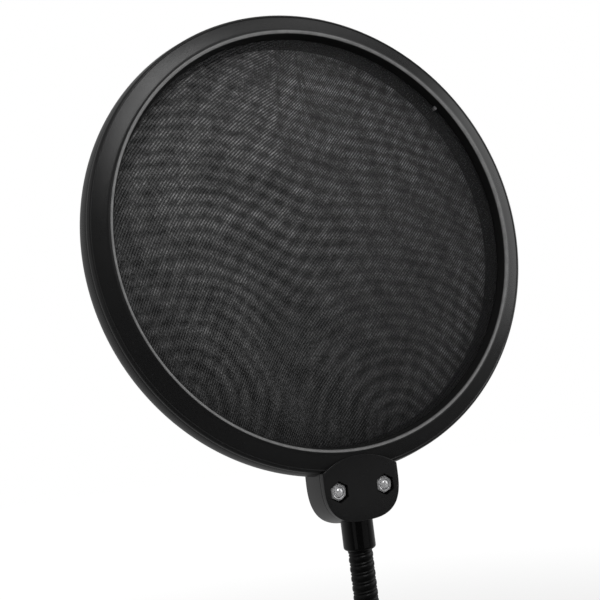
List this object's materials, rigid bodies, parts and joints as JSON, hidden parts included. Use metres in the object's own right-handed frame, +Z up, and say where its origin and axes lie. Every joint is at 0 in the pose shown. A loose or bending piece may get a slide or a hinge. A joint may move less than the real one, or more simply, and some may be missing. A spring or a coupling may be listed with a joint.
{
  "type": "pop filter",
  "caption": "Round microphone pop filter with two nylon meshes in a black hoop, on a gooseneck arm with a screw clamp.",
  "frame": {"origin": "centre of the fixed jaw pad's clamping face", "axes": "+Z up the arm towards the head, -Y the way the head faces, +X to the right seen from the front"},
  "size_m": [0.1572, 0.0499, 0.6655],
  "materials": {
    "hoop_plastic": "black satin moulded plastic",
    "mesh_nylon": "black woven nylon",
    "zinc_steel": "bright zinc plate",
    "black_metal": "satin black coating",
    "bush_brass": "turned brass",
    "jaw_rubber": "matt black rubber",
    "knob_plastic": "black moulded plastic"
  },
  "bodies": {
    "clamp": {"clamp_frame": "black_metal", "jaw_pad_fixed": "jaw_rubber", "thread_bush": "bush_brass", "ferrule_lock_nut": "zinc_steel", "lower_ferrule": "black_metal", "gooseneck_1": "black_metal"},
    "arm_2": {"gooseneck_2": "black_metal"},
    "arm_3": {"gooseneck_3": "black_metal"},
    "arm_4": {"gooseneck_4": "black_metal"},
    "arm_5": {"gooseneck_5": "black_metal"},
    "arm_6": {"gooseneck_6": "black_metal"},
    "arm_7": {"gooseneck_7": "black_metal"},
    "arm_8": {"gooseneck_8": "black_metal"},
    "head": {"gooseneck_9": "black_metal", "upper_ferrule": "black_metal", "front_hoop": "hoop_plastic", "rear_hoop": "hoop_plastic", "front_mesh": "mesh_nylon", "rear_mesh": "mesh_nylon", "mesh_spacer": "hoop_plastic", "lug_screw_left": "zinc_steel", "lug_screw_right": "zinc_steel", "lug_nut_left": "zinc_steel", "lug_nut_right": "zinc_steel"},
    "moving_jaw": {"swivel_plate": "zinc_steel", "jaw_pad_moving": "jaw_rubber", "swivel_clip": "zinc_steel"},
    "screw": {"clamp_screw": "zinc_steel", "clamp_knob": "knob_plastic"}
  },
  "joints": [
    {"name": "arm_bend_1", "type": "hinge", "parent": "clamp", "child": "arm_2", "pos_m": [0, 0, 0.07467], "axis": [1, 0, 0], "range_deg": [-30, 30]},
    {"name": "arm_bend_2", "type": "hinge", "parent": "arm_2", "child": "arm_3", "pos_m": [0, 0, 0.11133], "axis": [0, 1, 0], "range_deg": [-30, 30]},
    {"name": "arm_bend_3", "type": "hinge", "parent": "arm_3", "child": "arm_4", "pos_m": [0, 0, 0.148], "axis": [1, 0, 0], "range_deg": [-30, 30]},
    {"name": "arm_bend_4", "type": "hinge", "parent": "arm_4", "child": "arm_5", "pos_m": [0, 0, 0.18467], "axis": [0, 1, 0], "range_deg": [-30, 30]},
    {"name": "arm_bend_5", "type": "hinge", "parent": "arm_5", "child": "arm_6", "pos_m": [0, 0, 0.22133], "axis": [1, 0, 0], "range_deg": [-30, 30]},
    {"name": "arm_bend_6", "type": "hinge", "parent": "arm_6", "child": "arm_7", "pos_m": [0, 0, 0.258], "axis": [0, 1, 0], "range_deg": [-30, 30]},
    {"name": "arm_bend_7", "type": "hinge", "parent": "arm_7", "child": "arm_8", "pos_m": [0, 0, 0.29467], "axis": [1, 0, 0], "range_deg": [-30, 30]},
    {"name": "arm_bend_8", "type": "hinge", "parent": "arm_8", "child": "head", "pos_m": [0, 0, 0.33133], "axis": [0, 1, 0], "range_deg": [-30, 30]},
    {"name": "jaw_slide", "type": "slide", "parent": "clamp", "child": "moving_jaw", "axis": [0, 0, 1], "range_m": [-0.02, 0.025]},
    {"name": "screw_turn", "type": "hinge", "parent": "moving_jaw", "child": "screw", "pos_m": [0, 0, -0.06], "axis": [0, 0, 1], "range_deg": [-5760, 7200]}
  ],
  "couplings": [
    {"joint": "screw_turn", "follows": "jaw_slide", "rad_per_m": 5026.5}
  ]
}
